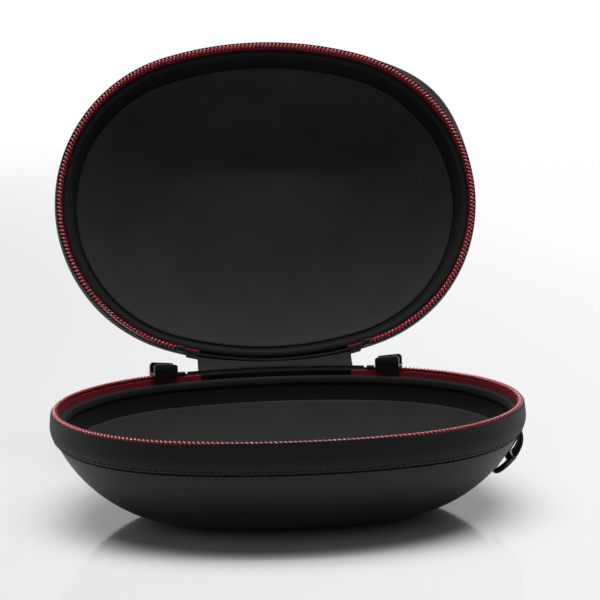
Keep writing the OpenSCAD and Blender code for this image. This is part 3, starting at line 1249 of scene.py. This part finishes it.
@dataclass
class Studio:
    """Floor, lights and camera, in metres and degrees.

    The floor shows the case's shadow inside an oval, whose scales are across and to the back. Beyond the oval's edge it
    is mostly the glowing surround, painted greyer to the left as shade, and further out all that and then white.
    """

    floor_size: float = 6.0
    floor_tones: Pair = (0.87, 0.89)
    surround_shade_tones: Pair = (0.71, 0.98)
    surround_shade_slope: float = 1.2
    surround_shade_middle: float = 0.62
    oval_scales: Pair = (0.74, 0.3)
    oval_edge: Pair = (0.056, 0.09)
    oval_share: float = 0.85
    fade: Pair = (0.22, 0.95)
    whiten: Pair = (0.6, 2.6)
    lens: float = 106.9
    distance: float = 0.70457
    elevation: float = 8.71
    yaw: float = 4.68
    roll: float = 1.15
    aim: Spot = (0.00549, -0.00045, 0.08549)
    ambient: float = 0.09
    backdrop: Pair = (-0.2, 0.3)
    lamps: tuple[Lamp, ...] = (
        Lamp("top_light", (0.05, 0.05, 1.3), (1.5, 0.8), 11.0),
        Lamp("strip_light", (0.0, -0.25, 1.15), (1.2, 0.03), 3.6),
        Lamp("left_light", (-1.0, -1.0, 0.8), (0.5, 0.9), 1.2),
        Lamp("right_light", (1.2, -0.3, 0.9), (0.5, 0.9), 0.4),
    )

    def build_floor(self) -> None:
        """A pale glossy floor that fades to the white of a glowing surround, whose painted shade makes it greyer to the
        left.
        """
        tidy()
        bpy.ops.mesh.primitive_plane_add(size=self.floor_size)
        floor = bpy.context.object
        floor.name = "studio_floor"
        shader = Shader("studio_floor")
        mottle = shader.noise(0.01)
        near = shader.principled(
            Base_Color=shader.blend(mottle, *map(grey, self.floor_tones)),
            Roughness=mottle * 0.03 + 0.07,
            Specular_IOR_Level=0.5,
        )
        reach = shader.length(shader.spot())
        side, deep = (shader.part(shader.spot(), axis) for axis in "XY")
        # Painted shade: the surround's glow is greyer to the left.
        shaded_surround = shader.blend((side * self.surround_shade_slope + self.surround_shade_middle).clipped(), *map(grey, self.surround_shade_tones))
        surround = shader.blend(shader.ease(reach, *self.whiten), shaded_surround, grey(1.0))
        far = shader.node("Emission", {}, {"Color": surround})
        oval = {"X": side * self.oval_scales[0], "Y": (deep * -1.0).larger(deep * self.oval_scales[1])}
        past_oval = shader.ease(shader.length(shader.node("CombineXYZ", {}, oval)), *self.oval_edge)
        share = past_oval * self.oval_share + shader.ease(reach, *self.fade) * (1.0 - self.oval_share)
        seen = shader.ray("Camera").larger(shader.mirrored())
        mixed = shader.node("MixShader", {}, {0: share * seen, 1: near, 2: far})
        shader.node("OutputMaterial", {}, {"Surface": mixed})
        floor.data.materials.append(shader.material)

    def build_world(self) -> None:
        """A white surround, a white backdrop in reflections, and a dim room for light and for the camera's side."""
        world = bpy.data.worlds.new("studio")
        bpy.context.scene.world = world
        tree = Tree(world)
        heading = tree.node("TexCoord", out="Generated")
        behind = tree.ease(tree.part(heading, "Y"), *self.backdrop)
        level = tree.ray("Camera").larger(tree.mirrored() * behind) * (1.0 - self.ambient) + self.ambient
        light = tree.node("Background", {}, {"Color": grey(1.0), "Strength": level})
        tree.node("OutputWorld", {}, {"Surface": light})

    def build_camera(self) -> None:
        """A camera at the photograph's angle."""
        data = bpy.data.cameras.new("photo_camera")
        data.lens = self.lens
        data.sensor_width = 36.0
        camera = add_object("photo_camera", data)
        place = Matrix.Translation(self.aim)
        for axis, degrees in (("Z", -self.yaw), ("X", 90.0 - self.elevation), ("Z", -self.roll)):
            place @= Matrix.Rotation(math.radians(degrees), 4, axis)
        camera.matrix_world = place @ Matrix.Translation((0.0, 0.0, self.distance))
        bpy.context.scene.camera = camera

    def build(self) -> None:
        """Builds the studio in order."""
        self.build_floor()
        self.build_world()
        for lamp in self.lamps:
            lamp.build(Vector(self.aim))
        self.build_camera()
        bpy.context.scene.view_settings.view_transform = "Standard"


def main() -> None:
    """Builds the case, then the studio."""
    logging.basicConfig(level=logging.INFO, format="%(name)s: %(message)s")
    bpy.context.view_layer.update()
    finishes = Finishes()
    for half in Half:
        MouldedHalf(half, finishes, SLACK[half]).build()
        ZipHalf(half, finishes).build()
    for side in ("right", "left"):
        ZipSlider(side, finishes).build()
    ClothHinge(finishes).build()
    StrapRing(finishes).build()
    Studio().build()


if __name__ == "__main__":
    main()
